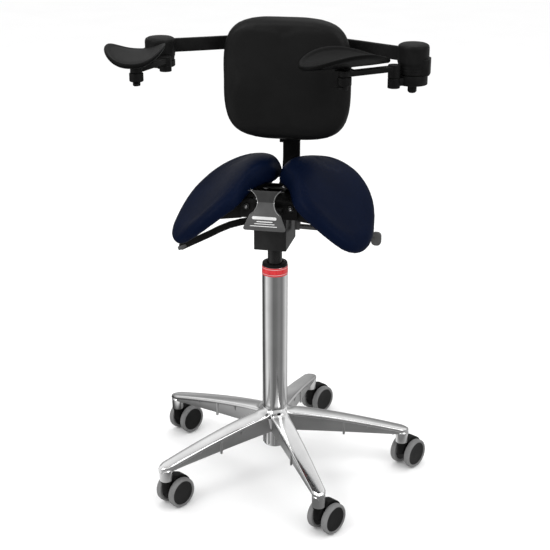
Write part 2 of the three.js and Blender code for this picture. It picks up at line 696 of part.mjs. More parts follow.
function arm(label) {
  const pose = ARM_POSE[label];
  const { side, elbowSplit, linkBottom } = pose;
  piece(`elbow_housing_${label}`, elbowHousing(side, elbowSplit, pose.capTop), BLACK_PLASTIC);
  const elbow = new THREE.Group();
  elbow.position.set(side * ELBOW.x, ELBOW.y, 0);
  elbow.rotation.z = radians(pose.link);
  stool.add(elbow);
  piece(`elbow_link_${label}`, elbowLink(elbowSplit, linkBottom), BLACK_PLASTIC, elbow);
  piece(`elbow_knob_${label}`, elbowKnob(linkBottom, pose.knobLength), BLACK_PLASTIC, elbow);
  const wrist = new THREE.Group();
  wrist.position.set(LINK_LENGTH, 0, 0);
  wrist.rotation.z = radians(pose.reach - pose.link);
  elbow.add(wrist);
  piece(`forearm_${label}`, forearm(elbowSplit), BLACK_METAL, wrist);
  const pad = new THREE.Group();
  pad.position.set(FOREARM_LENGTH, 0, 0);
  pad.rotation.z = radians(pose.pad - pose.reach);
  wrist.add(pad);
  piece(`pad_bracket_${label}`, padBracket(pose.rise), BLACK_METAL, pad);
  piece(`pad_knob_${label}`, padKnob(), BLACK_PLASTIC, pad);
  piece(`arm_pad_${label}`, armPad(pose.tilt, pose.rise), BLACK_LEATHER, pad);
}

// ---------- assembly ----------

piece('base_star', baseStar(), POLISHED);
for (let i = 0; i < LEG_COUNT; i += 1) caster(i);

piece('column_tube', columnTube(), POLISHED);
piece('column_collar', columnCollar(), BLACK_PLASTIC);
piece('thrust_bearing', thrustBearing(), STEEL);
piece('piston_rod', pistonRod(), STEEL);
piece('gas_cylinder', gasCylinder(), BLACK_METAL);
piece('valve_pin', valvePin(), STEEL);

piece('column_socket', columnSocket(), BLACK_METAL);
piece('tilt_pin', tiltPin(), STEEL);
piece('tilt_frame', tiltFrame(), BLACK_METAL);
piece('front_plate', frontPlate(), GREY_METAL);
piece('swing_pin_right', swingPin(1), STEEL);
piece('swing_pin_left', swingPin(-1), STEEL);
piece('width_screw', widthScrew(), STEEL);
piece('lift_lever', liftLever(), BLACK_METAL);
piece('tilt_lever', tiltLever(), BLACK_METAL);

const pan = cut(join(seatPan(), ...seatBracket()), rodAlongY(5.5, -90, 70, SWING_PIN.x, SWING_PIN.z));
piece('seat_pan_right', pan, BLACK_METAL);
piece('seat_pan_left', mirrored(pan), BLACK_METAL);
const cushion = seatCushion();
piece('seat_cushion_right', cushion, NAVY_LEATHER);
piece('seat_cushion_left', mirrored(cushion), NAVY_LEATHER);

piece('back_post', backPost(), BLACK_METAL);
piece('back_carriage', backCarriage(), BLACK_METAL);
piece('back_knob', backKnob(), RUBBER);
piece('back_plate', backPlate(), BLACK_PLASTIC);
piece('back_cushion', backCushion(), BLACK_LEATHER);

piece('arm_bar', armBar(), BLACK_METAL);
arm('right');
arm('left');

stool.position.z = -FOOT_HEIGHT;

export default stool;
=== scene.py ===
"""Dentist stool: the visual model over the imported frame. Lengths in mm inside the builders, heights
from the floor, turned into metres in the row frame by place()."""

import json
import math

import bmesh
import bpy
import numpy as np
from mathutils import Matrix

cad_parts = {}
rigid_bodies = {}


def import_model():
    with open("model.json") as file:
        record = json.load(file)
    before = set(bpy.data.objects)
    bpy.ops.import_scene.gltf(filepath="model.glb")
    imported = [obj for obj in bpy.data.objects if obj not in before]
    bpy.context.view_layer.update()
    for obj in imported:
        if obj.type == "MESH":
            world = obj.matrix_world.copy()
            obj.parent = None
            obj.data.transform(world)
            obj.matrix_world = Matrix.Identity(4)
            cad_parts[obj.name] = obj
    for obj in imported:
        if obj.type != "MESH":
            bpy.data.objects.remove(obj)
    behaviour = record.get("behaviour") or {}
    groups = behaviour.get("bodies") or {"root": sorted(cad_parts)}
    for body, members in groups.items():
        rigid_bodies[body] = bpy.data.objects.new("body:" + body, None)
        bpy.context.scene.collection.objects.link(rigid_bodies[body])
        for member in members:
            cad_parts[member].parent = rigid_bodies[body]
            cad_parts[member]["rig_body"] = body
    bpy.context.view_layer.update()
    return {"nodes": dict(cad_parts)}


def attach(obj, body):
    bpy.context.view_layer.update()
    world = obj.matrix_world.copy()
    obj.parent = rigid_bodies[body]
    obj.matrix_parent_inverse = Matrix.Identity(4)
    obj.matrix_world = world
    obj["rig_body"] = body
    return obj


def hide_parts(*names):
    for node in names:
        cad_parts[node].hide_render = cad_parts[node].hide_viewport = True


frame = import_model()

FLOOR = -60.0  # the floor's height in the row frame, mm
LEG_ANGLES = [12.4 + 72 * k for k in range(5)]
STEM_RADIUS = 260
TRAIL = (23, 58.8)  # stem to axle, and the way the casters trail

# Each arm: where its elbow stands, the headings of its link, forearm and pad, the pad's tilt, lift and
# the power of its outline, the elbow's parting line, bottom and top, and how far its screw hangs down.
ELBOWS = {
    "right": dict(
        at=(243, 80), link=222, reach=222, pad=223, tilt=0.5, rise=0, square=2.0,
        split=812, bottom=793, cap=870, knob=16,
    ),
    "left": dict(
        at=(-243, 80), link=300, reach=258, pad=283, tilt=0.8, rise=3, square=2.4,
        split=820, bottom=808, cap=865, knob=6,
    ),
}


# ---------- numbers ----------


def turn(points, degrees):
    """Points turned about the column's axis."""
    p = np.array(points, float)
    c, s = math.cos(math.radians(degrees)), math.sin(math.radians(degrees))
    x, y = p[..., 0].copy(), p[..., 1].copy()
    p[..., 0], p[..., 1] = x * c - y * s, x * s + y * c
    return p


def ahead(at, degrees, distance):
    """The point a distance from another, along a heading."""
    a = math.radians(degrees)
    return (at[0] + distance * math.cos(a), at[1] + distance * math.sin(a))


def smoothstep(a, b, x):
    t = np.clip((x - a) / (b - a), 0, 1)
    return t * t * (3 - 2 * t)


def catmull(points, count, closed=False):
    """A centripetal Catmull-Rom curve through the points, evenly sampled by parameter."""
    p = np.array(points, float)
    n = len(p)
    spans = n if closed else n - 1
    out = []
    for i in range(count):
        u = i / (count if closed else count - 1) * spans
        k = min(int(u), spans - 1)
        t = u - k
        if closed:
            q = [p[(k + j - 1) % n] for j in range(4)]
        else:
            q = [
                p[k - 1] if k > 0 else 2 * p[0] - p[1],
                p[k],
                p[k + 1],
                p[k + 2] if k + 2 < n else 2 * p[-1] - p[-2],
            ]
        d = [max(1e-6, np.linalg.norm(q[j + 1] - q[j]) ** 0.5) for j in range(3)]
        m1 = ((q[1] - q[0]) / d[0] - (q[2] - q[0]) / (d[0] + d[1]) + (q[2] - q[1]) / d[1]) * d[1]
        m2 = ((q[2] - q[1]) / d[1] - (q[3] - q[1]) / (d[1] + d[2]) + (q[3] - q[2]) / d[2]) * d[1]
        a = 2 * q[1] - 2 * q[2] + m1 + m2
        b = -3 * q[1] + 3 * q[2] - 2 * m1 - m2
        out.append(a * t**3 + b * t**2 + m1 * t + q[1])
    return np.array(out)


# ---------- shells: lists of (vertices, faces) in mm ----------


def loft(rings, wrap=False):
    """Skin over closed rings of equal length, capped at both ends or wrapped round to the start."""
    n, m = len(rings), len(rings[0])
    verts = np.concatenate([np.array(r, float) for r in rings])
    faces = []
    for i in range(n if wrap else n - 1):
        a, b = i * m, ((i + 1) % n) * m
        for j in range(m):
            k = (j + 1) % m
            faces.append((a + j, a + k, b + k, b + j))
    if not wrap:
        faces.append(tuple(range(m - 1, -1, -1)))
        faces.append(tuple(range((n - 1) * m, n * m)))
    return verts, faces


def lathe(profile, sides=64, at=(0, 0)):
    """Turns a [radius, height] profile about a vertical axis. Ends on the axis are closed."""
    rings = []
    a = np.linspace(0, 2 * math.pi, sides, endpoint=False)
    for r, z in profile:
        r = max(r, 0.01)
        rings.append(np.stack([at[0] + r * np.cos(a), at[1] + r * np.sin(a), np.full(sides, z)], 1))
    closed = profile[0][0] > 0.02 and profile[0] == profile[-1]
    if closed:
        rings = rings[:-1]
    return loft(rings, wrap=closed)


def softened(profile, radius=1.0, steps=3):
    """Rounds the corners of an open [radius, height] profile."""
    p = [np.array(q, float) for q in profile]
    out = [tuple(p[0])]
    for a, b, c in zip(p, p[1:], p[2:]):
        la, lc = np.linalg.norm(a - b), np.linalg.norm(c - b)
        cut = min(radius, la * 0.45, lc * 0.45)
        s, e = b + (a - b) / la * cut, b + (c - b) / lc * cut
        for i in range(steps + 1):
            t = i / steps
            out.append(tuple((1 - t) ** 2 * s + 2 * t * (1 - t) * b + t * t * e))
    out.append(tuple(p[-1]))
    return out


def rounded(x0, x1, y0, y1, r, steps=5):
    """A rounded rectangle, anticlockwise."""
    out = []
    corners = ((x1 - r, y0 + r, -90), (x1 - r, y1 - r, 0), (x0 + r, y1 - r, 90), (x0 + r, y0 + r, 180))
    for cx, cy, a0 in corners:
        for i in range(steps + 1):
            a = math.radians(a0 + 90 * i / steps)
            out.append((cx + r * math.cos(a), cy + r * math.sin(a)))
    return out


def inset(ring, by):
    """Moves each point of a flat anticlockwise ring inwards."""
    p = np.array(ring, float)
    e = np.roll(p, -1, 0) - p
    e /= np.linalg.norm(e, axis=1)[:, None] + 1e-9
    nrm = np.stack([-e[:, 1], e[:, 0]], 1)
    m = nrm + np.roll(nrm, 1, 0)
    m /= np.maximum(0.6, (m * nrm).sum(1))[:, None]
    return p + m * by


def slab(ring, z0, z1, soft=1.0, steps=3):
    """A flat ring pulled up from z0 to z1, its rims rounded by soft."""
    rings = []
    for i in range(steps + 1):
        a = math.radians(90 * i / steps)
        rings.append((soft * (1 - math.sin(a)), z0 + soft * (1 - math.cos(a))))
    rings += [(d, z0 + z1 - z) for d, z in reversed(rings)]
    return loft([np.column_stack([inset(ring, d), np.full(len(ring), z)]) for d, z in rings])


def upright(shell):
    """Stands a slab up: its height becomes depth along Y."""
    v, f = shell
    return v[:, [0, 2, 1]], [tuple(reversed(q)) for q in f]


def brick(x0, x1, y0, y1, z0, z1, r=2.0, soft=1.0):
    """A block with corners of radius r and rims rounded by soft."""
    return slab(rounded(x0, x1, y0, y1, r, 3), z0, z1, soft)


def sweep(section, path, up=(0, 0, 1), soft=1.0):
    """A flat ring (side, up) carried along a path of points, its ends rounded a little."""
    p = np.array(path, float)
    t = np.gradient(p, axis=0)
    t /= np.linalg.norm(t, axis=1)[:, None]
    rings = []
    n = len(p)
    for i in range(n):
        side = np.cross(t[i], up)
        side /= np.linalg.norm(side)
        top = np.cross(side, t[i])
        s = inset(section, soft) if i in (0, n - 1) else np.array(section, float)
        rings.append(p[i] + s[:, :1] * side + s[:, 1:2] * top)
    return loft(rings)


def moved(shell, by=(0, 0, 0), spin=None):
    """A shell turned about the column's axis, then shifted."""
    v, f = shell
    v = np.array(v, float)
    if spin is not None:
        v = turn(v, spin)
    return v + np.array(by, float), f


def pillow(top, upper, lower, bottom):
    """A closed cushion: rings from a top point out to the rim, then back in below to a bottom point.
    Both lists of rings run outwards and share the last ring, the rim."""
    rings = [*upper, *lower[-2::-1]]
    verts = np.concatenate([[top], *rings, [bottom]])
    n = len(upper[0])
    faces = [(0, 1 + j, 1 + (j + 1) % n) for j in range(n)]
    for i in range(len(rings) - 1):
        a, b = 1 + i * n, 1 + (i + 1) * n
        faces += [(a + j, b + j, b + (j + 1) % n, a + (j + 1) % n) for j in range(n)]
    last, end = 1 + (len(rings) - 1) * n, len(verts) - 1
    faces += [(last + (j + 1) % n, last + j, end) for j in range(n)]
    return verts, faces


def oval(half_x, half_y, power, sides):
    """A ring that goes from an ellipse at power 2 towards a rectangle as the power grows."""
    a = np.linspace(0, 2 * math.pi, sides, endpoint=False)
    c, s = np.cos(a), np.sin(a)
    reach = (np.abs(c) ** power + np.abs(s) ** power) ** (-1 / power)
    return np.column_stack([half_x * reach * c, half_y * reach * s])


def bulge(d, radius):
    """Height of a rolled edge at distance d in from the rim."""
    return np.sqrt(np.clip(radius**2 - (radius - np.minimum(d, radius)) ** 2, 0, None))


# ---------- materials ----------


def material(name, build):
    """A node material. build(node, link, bsdf, where) wires it, where being the object's own space."""
    m = bpy.data.materials.new(name)
    m.use_nodes = True
    nodes, links = m.node_tree.nodes, m.node_tree.links
    bsdf = nodes["Principled BSDF"]

    def node(kind, **values):
        n = nodes.new(kind)
        for k, v in values.items():
            if hasattr(n, k) and k not in n.inputs:
                setattr(n, k, v)
            else:
                n.inputs[k].default_value = v
        return n

    where = node("ShaderNodeTexCoord").outputs["Object"]
    build(node, links.new, bsdf, where)
    return m


def stretch(node, link, where, scale):
    m = node("ShaderNodeMapping")
    m.inputs["Scale"].default_value = scale
    link(where, m.inputs["Vector"])
    return m.outputs["Vector"]


def noise(node, link, where, scale, detail=4.0, roughness=0.55):
    n = node("ShaderNodeTexNoise", Scale=scale, Detail=detail, Roughness=roughness)
    link(where, n.inputs["Vector"])
    return n.outputs["Fac"]


def ramp(node, link, fac, stops):
    r = node("ShaderNodeValToRGB")
    e = r.color_ramp.elements
    e[0].position, e[1].position = stops[0][0], stops[-1][0]
    e[0].color, e[1].color = stops[0][1], stops[-1][1]
    for pos, col in stops[1:-1]:
        e.new(pos).color = col
    link(fac, r.inputs["Fac"])
    return r.outputs["Color"]


def grey(v):
    return (v, v, v, 1)


def span(node, link, fac, low, high):
    m = node("ShaderNodeMapRange")
    m.inputs["To Min"].default_value = low
    m.inputs["To Max"].default_value = high
    link(fac, m.inputs["Value"])
    return m.outputs["Result"]


def bump(node, link, bsdf, height, strength, distance, onto=None):
    b = node("ShaderNodeBump", Strength=strength, Distance=distance)
    link(height, b.inputs["Height"])
    if onto is not None:
        link(onto, b.inputs["Normal"])
    link(b.outputs["Normal"], bsdf.inputs["Normal"])
    return b.outputs["Normal"]


def metal(low, high, rough, streak, grain=0.0):
    """Polished or cast metal: a tone that drifts, a roughness that varies, and fine scratches."""

    def build(node, link, bsdf, where):
        drift = noise(node, link, where, 14.0, 3.0)
        link(ramp(node, link, drift, [(0.3, low), (0.7, high)]), bsdf.inputs["Base Color"])
        fine = noise(node, link, stretch(node, link, where, streak), 90.0, 5.0)
        link(span(node, link, fine, rough[0], rough[1]), bsdf.inputs["Roughness"])
        bsdf.inputs["Metallic"].default_value = 1.0
        if grain:
            bump(node, link, bsdf, noise(node, link, where, 900.0, 3.0), grain, 0.00015)

    return build


def moulded(low, high, rough, grain=0.15, scale=1500.0, gloss=0.5):
    """Plastic or painted metal: a slight mottle, and a fine grain in the surface."""

    def build(node, link, bsdf, where):
        tone = noise(node, link, where, 40.0, 5.0)
        link(ramp(node, link, tone, [(0.35, low), (0.7, high)]), bsdf.inputs["Base Color"])
        worn = noise(node, link, where, 220.0, 4.0)
        link(span(node, link, worn, rough[0], rough[1]), bsdf.inputs["Roughness"])
        bsdf.inputs["Specular IOR Level"].default_value = gloss
        bump(node, link, bsdf, noise(node, link, where, scale, 2.0), grain, 0.00012)

    return build


def leather(low, high, rough, gloss, pore=620.0, depth=0.22):
    """Soft upholstery leather: pebbled grain with creases between, and a faint sheen."""

    def build(node, link, bsdf, where):
        tone = noise(node, link, where, 9.0, 6.0, 0.6)
        link(ramp(node, link, tone, [(0.3, low), (0.75, high)]), bsdf.inputs["Base Color"])
        warp = node("ShaderNodeTexNoise", Scale=180.0, Detail=2.0)
        link(where, warp.inputs["Vector"])
        push = node("ShaderNodeVectorMath", operation="SCALE")
        push.inputs["Scale"].default_value = 0.004
        link(warp.outputs["Color"], push.inputs[0])
        bent = node("ShaderNodeVectorMath", operation="ADD")
        link(where, bent.inputs[0])
        link(push.outputs[0], bent.inputs[1])
        cells = node("ShaderNodeTexVoronoi", feature="DISTANCE_TO_EDGE", Scale=pore)
        link(bent.outputs[0], cells.inputs["Vector"])
        crease = span(node, link, cells.outputs["Distance"], 0.0, 1.0)
        crease.node.inputs["From Max"].default_value = 0.22
        first = bump(node, link, bsdf, crease, depth, 0.00035)
        bump(node, link, bsdf, noise(node, link, where, 70.0, 4.0), 0.10, 0.0012, first)
        link(span(node, link, crease, rough[1], rough[0]), bsdf.inputs["Roughness"])
        bsdf.inputs["Specular IOR Level"].default_value = gloss

    return build


POLISHED = material("polished_aluminium", metal(grey(0.78), grey(0.90), (0.07, 0.16), (1, 1, 0.06)))
LEG_POLISH = material("leg_polish", metal(grey(0.80), grey(0.92), (0.08, 0.19), (0.3, 0.3, 1)))
CAST = material("cast_aluminium", metal(grey(0.58), grey(0.68), (0.34, 0.5), (1, 1, 1), 0.25))
STEEL = material("machined_steel", metal(grey(0.5), grey(0.62), (0.22, 0.38), (1, 1, 12)))
BLACK_METAL = material(
    "black_powder_coat", moulded(grey(0.0035), grey(0.007), (0.38, 0.55), 0.3, 1100.0, 0.14)
)
BLACK_GLOSS = material("black_enamel", moulded(grey(0.006), grey(0.012), (0.12, 0.24), 0.05, 900.0, 0.4))
BLOCK_BLACK = material("block_paint", moulded(grey(0.010), grey(0.016), (0.30, 0.46), 0.2, 1300.0, 0.3))
GREY_METAL = material("grey_plate", moulded(grey(0.05), grey(0.068), (0.34, 0.5), 0.12, 1400.0, 0.35))
# The front plate's grey made darker for its upper half: painted shade where the plate sits under the seat halves.
PLATE_PAINTED_SHADE = material("plate_painted_shade", moulded(grey(0.026), grey(0.036), (0.4, 0.55), 0.12, 1400.0, 0.25))
BRIGHT_EDGE = material("bright_edge", metal(grey(0.5), grey(0.62), (0.2, 0.34), (1, 1, 1)))
BLACK_PLASTIC = material("black_plastic", moulded(grey(0.0035), grey(0.007), (0.4, 0.58), 0.35, 1500.0, 0.14))
HUB_PLASTIC = material("hub_plastic", moulded(grey(0.009), grey(0.014), (0.4, 0.55), 0.2, 1500.0, 0.2))
TYRE = material("grey_tyre", moulded(grey(0.15), grey(0.19), (0.5, 0.66), 0.2, 1200.0, 0.3))
PADDLE = material("paddle_plastic", moulded(grey(0.055), grey(0.08), (0.4, 0.55), 0.25))
RUBBER = material("knob_rubber", moulded(grey(0.008), grey(0.014), (0.55, 0.75), 0.5, 700.0, 0.3))
RED_BAND = material("red_band", moulded((0.52, 0.012, 0.018, 1), (0.66, 0.03, 0.035, 1), (0.22, 0.34), 0.04))
PRINT = material("plate_print", moulded(grey(0.55), grey(0.68), (0.45, 0.6), 0.05))
NAVY = material(
    "navy_leather", leather((0.0014, 0.0036, 0.0130, 1), (0.0024, 0.0056, 0.0195, 1), (0.34, 0.46), 0.03)
)
BLACK_LEATHER = material("black_leather", leather(grey(0.005), grey(0.009), (0.36, 0.5), 0.15))
PAD_LEATHER = material("pad_leather", leather(grey(0.003), grey(0.005), (0.32, 0.44), 0.045, 800.0, 0.18))


# ---------- pieces ----------


def place(v):
    w = np.array(v, float)
    w[:, 2] += FLOOR
    return w / 1000.0


def finished(obj, mats, body, replaces, angle=38):
    for m in mats:
        obj.data.materials.append(m)
    obj.data.shade_smooth()
    obj.data.set_sharp_from_angle(angle=math.radians(angle))
    if replaces:
        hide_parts(*replaces)
    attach(obj, body)
    return obj


def outward(bm):
    bmesh.ops.recalc_face_normals(bm, faces=bm.faces)


def applied(obj):
    """A new mesh of the object as its modifiers leave it."""
    graph = bpy.context.evaluated_depsgraph_get()
    return bpy.data.meshes.new_from_object(obj.evaluated_get(graph))


def corners_of(mesh):
    co = np.zeros(len(mesh.vertices) * 3)
    mesh.vertices.foreach_get("co", co)
    return co.reshape(-1, 3)


def build(name, shells, mats, body, slot, replaces=(), angle=38, marks=None):
    """One object from closed shells. marks gives each shell's material number, or a list per face."""
    mesh = bpy.data.meshes.new(name)
    verts, faces, index = [], [], []
    base = 0
    for i, (v, f) in enumerate(shells):
        verts.append(place(v))
        faces += [tuple(q + base for q in face) for face in f]
        mark = marks[i] if marks else 0
        index += list(mark) if isinstance(mark, (list, np.ndarray)) else [mark] * len(f)
        base += len(v)
    mesh.from_pydata(np.concatenate(verts).tolist(), [], faces)
    mesh.polygons.foreach_set("material_index", index)
    bm = bmesh.new()
    bm.from_mesh(mesh)
    outward(bm)
    bm.to_mesh(mesh)
    bm.free()
    obj = bpy.data.objects.new(name, mesh)
    bpy.context.scene.collection.objects.link(obj)
    return finished(obj, mats if isinstance(mats, (list, tuple)) else [mats], body, replaces, angle)


def refined(node, mat, width, angle=40, segments=2):
    """A CAD node's shape with its flat faces joined up and its edges rounded."""
    source = frame["nodes"][node]
    bm = bmesh.new()
    bm.from_mesh(source.data)
    bmesh.ops.remove_doubles(bm, verts=bm.verts, dist=2e-6)
    bmesh.ops.dissolve_limit(bm, angle_limit=math.radians(1.0), verts=bm.verts, edges=bm.edges)
    mesh = bpy.data.meshes.new(node + "_finished")
    bm.to_mesh(mesh)
    bm.free()
    obj = bpy.data.objects.new(node + "_finished", mesh)
    bpy.context.scene.collection.objects.link(obj)
    mod = obj.modifiers.new("soft_edges", "BEVEL")
    mod.width = width / 1000.0
    mod.segments = segments
    mod.limit_method = "ANGLE"
    mod.angle_limit = math.radians(32)
    mod.use_clamp_overlap = True
    mod.harden_normals = False
    bpy.context.view_layer.update()
    baked = applied(obj)
    obj.modifiers.clear()
    obj.data = baked
    body = source["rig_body"]
    return finished(obj, [mat], body, [node], angle)


# ---------- star base ----------

ROOT, TIP = 25, 273  # a leg's start at the column's face and its end, from the axis
FLARE = 44  # where a leg's top starts to curl up against the column
ROOT_HALF, TIP_HALF = 19, 13.4  # half the leg's width at either end
WALL = 0.76  # how far out the side walls stand, as a share of the half width
CAST_POINTS = {*range(10, 31)}  # the section's points with the rough finish: walls and underside


def leg_share(r):
    return np.clip((r - ROOT) / (TIP - ROOT), 0, 1)


def leg_top(r):
    flare = max(0.0, (FLARE - max(r, ROOT)) / (FLARE - ROOT))
    return 90 + 45 * (1 - leg_share(r) ** 1.35) + 9 * flare**3


def leg_bottom(r):
    return 94 - 15 * leg_share(r) ** 1.2


def leg_half(r):
    nose = max(0.0, r - (TIP - 14))
    return ROOT_HALF + (TIP_HALF - ROOT_HALF) * leg_share(r) - nose * 0.3 - 0.018 * nose**2


def leg_section(r):
    """The leg cut across at r: a flat top with rolled lips over two walls, open below."""
    w, t, b = leg_half(r), leg_top(r), leg_bottom(r)
    t -= 0.02 * max(0.0, r - (TIP - 8)) ** 2
    wall = WALL * w
    half = [
        (0, t + 0.7), (0.35 * w, t + 0.62), (0.7 * w, t + 0.3), (w - 2.6, t - 0.1), (w - 1.3, t - 0.6),
        (w - 0.4, t - 1.6), (w, t - 3.0), (w, t - 5.6), (w - 0.5, t - 6.7), (w - 1.4, t - 7.1),
        (wall + 1.0, t - 7.4), (wall + 0.2, t - 8.4), (wall, t - 10.5), (wall, b + 1.4),
        (wall - 0.5, b + 0.3), (wall - 1.5, b), (wall - 2.6, b + 0.4), (wall - 3.0, b + 1.6), (wall - 3.0, t - 10),
        (wall - 5.0, t - 7.6), (0, t - 7.6),
    ]
    ring = [(y, z) for y, z in half] + [(-y, z) for y, z in reversed(half[1:-1])]
    root = leg_top(r)
    out = []
    for y, z in ring:
        curl = leg_top(math.hypot(r, y)) - root
        out.append((r, y, z + curl * smoothstep(t - 12, t - 2, z)))
    return np.array(out)


def leg_shells(angle):
    stations = sorted(set(np.round(np.concatenate([
        np.linspace(12, 50, 26), np.linspace(50, TIP - 14, 28), np.linspace(TIP - 14, TIP, 8),
    ]), 3)))
    rings = [leg_section(r) for r in stations]
    shell = loft(rings)
    m = len(rings[0])
    spans = len(rings) - 1
    marks = [1 if j in CAST_POINTS else 0 for _ in range(spans) for j in range(m)] + [1, 0]
    shells, index = [shell], [marks]

    def add(s, mark):
        shells.append(s)
        index.append(mark)

    h = leg_half(140) * WALL
    for side in (1, -1):
        y0, y1 = sorted((side * (h - 1.5), side * (h + 2.6)))
        add(brick(137.6, 142.4, y0, y1, leg_bottom(140) - 4.5, leg_top(140) - 6, 1.2, 0.7), 1)
        for r in (92, 188):
            w = leg_half(r) * WALL
            z1, z0 = leg_top(r) - 7.2, leg_bottom(r) + (leg_top(r) - leg_bottom(r)) * 0.42
            a, c = side * (w - 0.6), side * (leg_half(r) - 0.5)
            v = np.array([
                (r - 1.5, a, z1), (r + 1.5, a, z1), (r + 1.5, c, z1), (r - 1.5, c, z1),
                (r - 0.6, a, z0), (r + 0.6, a, z0),
            ])
            add((v, [(0, 3, 2, 1), (0, 1, 5, 4), (1, 2, 5), (0, 4, 3), (2, 3, 4, 5)]), 1)
    top = leg_top(STEM_RADIUS)
    boss = [(0, 60.2), (12.3, 60.2), (12.5, 82.5), (10.4, 84.6), (10.4, top - 4), (0, top - 4)]
    add(lathe(softened(boss, 0.9), 40, (STEM_RADIUS, 0)), 0)
    x0, x1 = STEM_RADIUS - 21, STEM_RADIUS - 17
    add(brick(x0, x1, -8.6, 8.6, leg_bottom(240) - 2, leg_top(240) - 6, 1.2, 0.8), 1)
    return [moved(s, spin=angle) for s in shells], index


def star():
    shells, marks = [], []
    for a in LEG_ANGLES:
        s, m = leg_shells(a)
        shells += s
        marks += m
    hub = [
        (0, 60), (21.4, 60), (22.3, 60.9), (22.5, 63), (22.8, 95), (24.6, 98.5), (27, 104), (30, 120),
        (31.6, 125), (31.8, 126.6), (31, 127.4), (25.06, 127.6), (25.06, 99.6), (0, 99.6),
    ]
    shells.append(lathe(hub, 96))
    marks.append(0)
    for k in range(5):
        a = LEG_ANGLES[k] + 36
        for off in (-16, 16):
            fin = brick(20, 25.2, -1.1, 1.1, 64, 100, 0.8, 0.5)
            shells.append(moved(fin, spin=a + off))
            marks.append(0)
    build("star_base", shells, [LEG_POLISH, CAST], "base", "polished_aluminium", ["base_star"], 50, marks)


# ---------- casters ----------


ARCH_STEPS = 30


def arch(inner, outer, a0, a1):
    """A crescent between two radii, anticlockwise, about the axle."""
    a = np.radians(np.linspace(a0, a1, ARCH_STEPS))
    out = [(outer * math.cos(t), outer * math.sin(t)) for t in a]
    return out + [(inner * math.cos(t), inner * math.sin(t)) for t in reversed(a)]


def caster(k):
    stem = ahead((0, 0), LEG_ANGLES[k - 1], STEM_RADIUS)
    trail, heading = TRAIL
    body = f"caster_{k}"

    def set_down(shell):
        return moved(shell, spin=heading, by=(stem[0], stem[1], 0))

    web = rounded_web()
    hood = upright(slab(web, -9.6, 9.6, 1.6, 4))
    hood = (hood[0] + np.array([trail, 0, 30]), hood[1])
    neck = lathe(softened([(0, 34), (9.2, 34), (9.4, 55.5), (10.9, 56.6), (11, 59.6), (0, 59.6)], 0.7), 40)
    pin = lathe([(0, 58), (5.2, 58), (5.2, 80), (0, 80)], 24)
    build(f"{body}_fork", [set_down(s) for s in (hood, neck, pin)], BLACK_PLASTIC, body, "black_plastic",
          [f"caster_{k}_housing"])
    for label, side in (("left", -1), ("right", 1)):
        wheel_body = f"caster_{k}_wheel_{label}"
        tyre = [
            (23.8, 11.6), (26.8, 11.0), (28.9, 11.8), (29.8, 13.6), (30, 15.6), (30, 19.6), (29.6, 21.6),
            (28.5, 23.1), (26.9, 23.9), (25.6, 23.9), (24.9, 23.2), (24.5, 22.2), (23.8, 21.8), (23.8, 11.6),
        ]
        hub = [
            (0, 20.9), (8, 21.0), (19.6, 21.3), (22.4, 21.9), (23.7, 22.1), (24.3, 21.2),
            (24.3, 12.6), (22.8, 11.3), (18, 11.0), (3.6, 10.9), (3.6, 18.9), (0, 18.9),
        ]
        for tag, profile, mat, slot, stands in (
            ("tyre", tyre, TYRE, "tyre", [wheel_body]),
            ("hub", hub, HUB_PLASTIC, "black_plastic", []),
        ):
            v, f = lathe(profile, 64)
            w = np.stack([v[:, 0] + trail, v[:, 2] * -side, v[:, 1] + 30], 1)
            build(f"{wheel_body}_{tag}", [set_down((w, f))], mat, wheel_body, slot, stands, 32)
    axle = frame["nodes"][f"caster_{k}_axle"]
    axle.data.materials.clear()
    axle.data.materials.append(STEEL)


def rounded_web():
    """The web between two wheels, seen from the side: a hood over the axle with a foot to the neck."""
    hood = arch(25.5, 33.2, -16, 100)
    boss = [(7.5 * math.cos(t), 7.5 * math.sin(t)) for t in np.radians(np.linspace(120, 330, 16))]
    return [*hood[:ARCH_STEPS], (-12.5, 26), (-14, 12), *boss, (20.5, -3), (24, -7.5)]


# ---------- column ----------


def column():
    tube = [
        (22.4, 100), (24.8, 100), (25, 100.4), (25, 446.2), (24.7, 446.9), (24.2, 447.1),
        (22.4, 447.1), (22.4, 100),
    ]
    build("column_polished", [lathe(tube, 96)], POLISHED, "base", "polished_aluminium", ["column_tube"])
    band = [
        (24.9, 429.5), (25.25, 429.5), (25.32, 429.9), (25.32, 446.2), (25.25, 446.6),
        (24.9, 446.6), (24.9, 429.5),
    ]
    build("column_band", [lathe(band, 96)], RED_BAND, "base", "")
    lines = []
    for z in (432.2, 443.4):
        lines.append(lathe([(25.3, z), (25.42, z), (25.42, z + 0.7), (25.3, z + 0.7), (25.3, z)], 96))
    build("column_band_lines", lines, PRINT, "base", "")
    collar = [
        (14.6, 401), (21.8, 401), (21.8, 447.4), (24.2, 447.4), (24.5, 447.8), (24.5, 451.2), (23.6, 453),
        (22.4, 453.4), (17.2, 453.4), (16.4, 452.6), (15.4, 450.6), (14.6, 450.4), (14.6, 401),
    ]
    build("guide_collar", [lathe(collar, 72)], BLACK_PLASTIC, "base", "black_plastic", ["column_collar"])
    lift = [
        (5.6, 104), (12.5, 104), (14, 105.6), (14, 529.2), (12.7, 531), (2.8, 531),
        (2.8, 514), (5.6, 514), (5.6, 104),
    ]
    build("lift_cylinder", [lathe(lift, 64)], BLACK_GLOSS, "carrier", "black_metal", ["gas_cylinder"])
    pins = ("tilt_pin", "swing_pin_right", "swing_pin_left")
    for node in ("thrust_bearing", "piston_rod", "valve_pin", *pins):
        refined(node, STEEL, 0.3)


# ---------- seat mechanism ----------


SWING_PIN = 42  # how far the pins the seat halves swing on stand from the middle
WAIST = (-74, 594.7)  # the bend across the front plate: its place along Y and its height
LEAN = math.radians(19)  # how far the plate's lower half leans back


